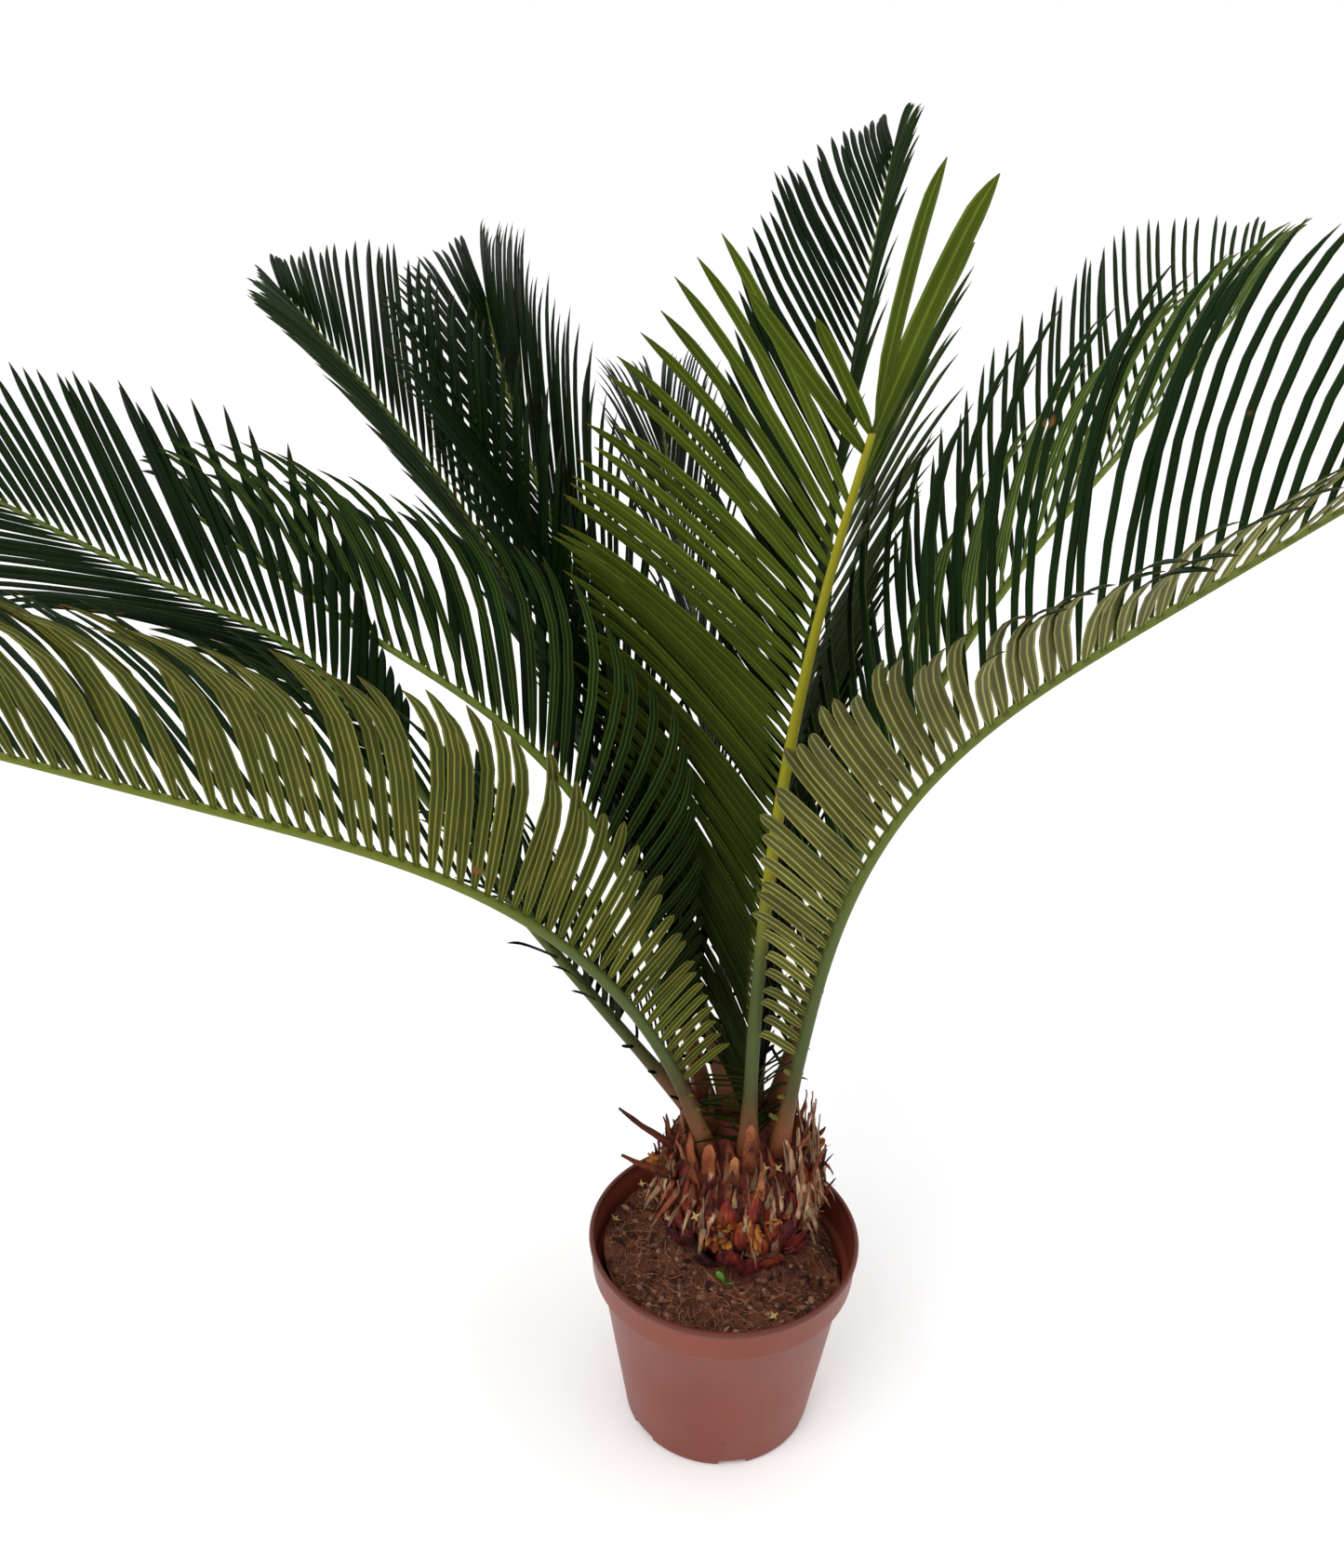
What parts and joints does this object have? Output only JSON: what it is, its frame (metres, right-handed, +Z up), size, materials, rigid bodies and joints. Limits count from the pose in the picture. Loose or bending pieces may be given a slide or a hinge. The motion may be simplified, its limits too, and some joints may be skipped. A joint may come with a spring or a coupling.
{
  "type": "potted sago palm",
  "caption": "Young sago palm with a scaly egg-shaped caudex and a crown of arching, feather-like fronds, growing in a plain round nursery pot of soil",
  "frame": {"origin": "centre of the pot's flat underside, on the surface it stands on", "axes": "+Z up along the pot's axis, +Y to the far side of the plant as pictured, +X to its right"},
  "size_m": [0.7095, 0.5839, 0.5606],
  "materials": {
    "pot_plastic": "smooth injection-moulded terracotta-brown plastic, half matt",
    "soil": "crumbly moist peat with coir fibres",
    "caudex": "scaly old leaf bases with dry papery sheaths",
    "frond": "leathery dark green leaflets, paler and matt below"
  },
  "bodies": {
    "root": {"pot": "pot_plastic", "soil": "soil", "caudex": "caudex", "frond_front": "frond", "frond_front_right": "frond", "frond_right": "frond", "frond_back_right": "frond", "frond_back": "frond", "frond_back_left": "frond", "frond_left_back": "frond", "frond_left_upper": "frond", "frond_left_lower": "frond", "frond_front_left": "frond"}
  },
  "joints": []
}
